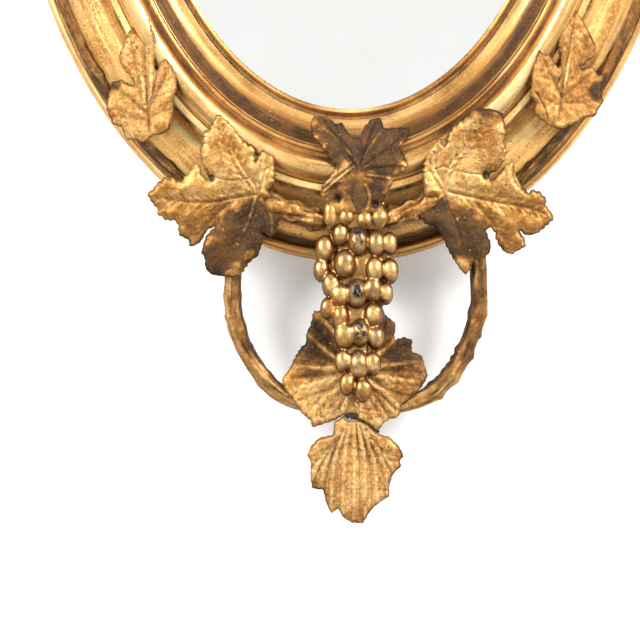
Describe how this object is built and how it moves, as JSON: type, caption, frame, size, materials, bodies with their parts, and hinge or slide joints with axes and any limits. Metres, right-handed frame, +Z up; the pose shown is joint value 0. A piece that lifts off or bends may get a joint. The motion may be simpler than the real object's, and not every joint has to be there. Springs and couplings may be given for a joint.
{
  "type": "oval wall mirror",
  "caption": "Oval wall mirror in a gilded moulded frame with climbing vines, vine leaves and a pendant of grapes; hangs from a plate at the top of its back.",
  "frame": {"origin": "middle of the hole in the hanging plate, halfway through the plate", "axes": "+Z up along the oval's long axis, +Y through the hole towards the wall, +X to the right as seen by someone who looks into the mirror"},
  "size_m": [0.5236, 0.0671, 0.9319],
  "materials": {
    "gilt": "worn gold leaf on gesso",
    "dark_gilt": "darkened bronze paint on gesso",
    "pine": "planed, aged",
    "board": "rough sawn, aged",
    "mirror": "silvered",
    "felt": "felt",
    "brass": "dulled",
    "steel": "dulled",
    "leather": "plain"
  },
  "bodies": {
    "root": {"rim_bead": "gilt", "cove_moulding": "gilt", "torus_moulding": "gilt", "sight_moulding": "gilt", "climbing_vine_left": "gilt", "climbing_vine_right": "gilt", "pendant_vine_left": "gilt", "pendant_vine_right": "gilt", "left_leaf": "gilt", "right_leaf": "gilt", "climbing_leaf_left": "gilt", "climbing_leaf_right": "gilt", "middle_leaf_left": "gilt", "middle_leaf_right": "gilt", "shoulder_leaf_left": "gilt", "shoulder_leaf_right": "gilt", "crest_leaf_left": "gilt", "crest_leaf_right": "gilt", "pendant_leaf": "gilt", "pendant_leaf_tip": "gilt", "grape_bunch": "gilt", "centre_leaf": "dark_gilt", "crest_leaf_centre": "dark_gilt", "twig_left": "dark_gilt", "twig_right": "dark_gilt", "carcass_right": "pine", "carcass_top": "pine", "carcass_left": "pine", "carcass_bottom": "pine", "carcass_splines": "pine", "backboard_left": "board", "backboard_middle": "board", "backboard_right": "board", "mirror_glass": "mirror", "backing_felt": "felt", "hanging_plate": "brass", "moulding_screws": "steel", "turn_button_screws": "steel", "hanging_plate_screws": "steel", "bumper_tacks": "steel", "leaf_pins": "steel", "pendant_wire_left": "steel", "pendant_wire_right": "steel", "pendant_leaf_dowel": "steel", "wall_bumper_left": "leather", "wall_bumper_right": "leather"},
    "turn_button_1": {"turn_button_1": "brass"},
    "turn_button_2": {"turn_button_2": "brass"},
    "turn_button_3": {"turn_button_3": "brass"},
    "turn_button_4": {"turn_button_4": "brass"},
    "turn_button_5": {"turn_button_5": "brass"},
    "turn_button_6": {"turn_button_6": "brass"},
    "turn_button_7": {"turn_button_7": "brass"},
    "turn_button_8": {"turn_button_8": "brass"}
  },
  "joints": [
    {"name": "turn_button_1_turn", "type": "hinge", "parent": "root", "child": "turn_button_1", "pos_m": [0.06614, 0.0003, -0.5632], "axis": [0, 1, 0], "range_deg": [-90, 90]},
    {"name": "turn_button_2_turn", "type": "hinge", "parent": "root", "child": "turn_button_2", "pos_m": [0.15968, 0.0003, -0.41956], "axis": [0, 1, 0], "range_deg": [-90, 90]},
    {"name": "turn_button_3_turn", "type": "hinge", "parent": "root", "child": "turn_button_3", "pos_m": [0.15968, 0.0003, -0.21644], "axis": [0, 1, 0], "range_deg": [-90, 90]},
    {"name": "turn_button_4_turn", "type": "hinge", "parent": "root", "child": "turn_button_4", "pos_m": [0.06614, 0.0003, -0.0728], "axis": [0, 1, 0], "range_deg": [-90, 90]},
    {"name": "turn_button_5_turn", "type": "hinge", "parent": "root", "child": "turn_button_5", "pos_m": [-0.06614, 0.0003, -0.0728], "axis": [0, 1, 0], "range_deg": [-90, 90]},
    {"name": "turn_button_6_turn", "type": "hinge", "parent": "root", "child": "turn_button_6", "pos_m": [-0.15968, 0.0003, -0.21644], "axis": [0, 1, 0], "range_deg": [-90, 90]},
    {"name": "turn_button_7_turn", "type": "hinge", "parent": "root", "child": "turn_button_7", "pos_m": [-0.15968, 0.0003, -0.41956], "axis": [0, 1, 0], "range_deg": [-90, 90]},
    {"name": "turn_button_8_turn", "type": "hinge", "parent": "root", "child": "turn_button_8", "pos_m": [-0.06614, 0.0003, -0.5632], "axis": [0, 1, 0], "range_deg": [-90, 90]}
  ]
}
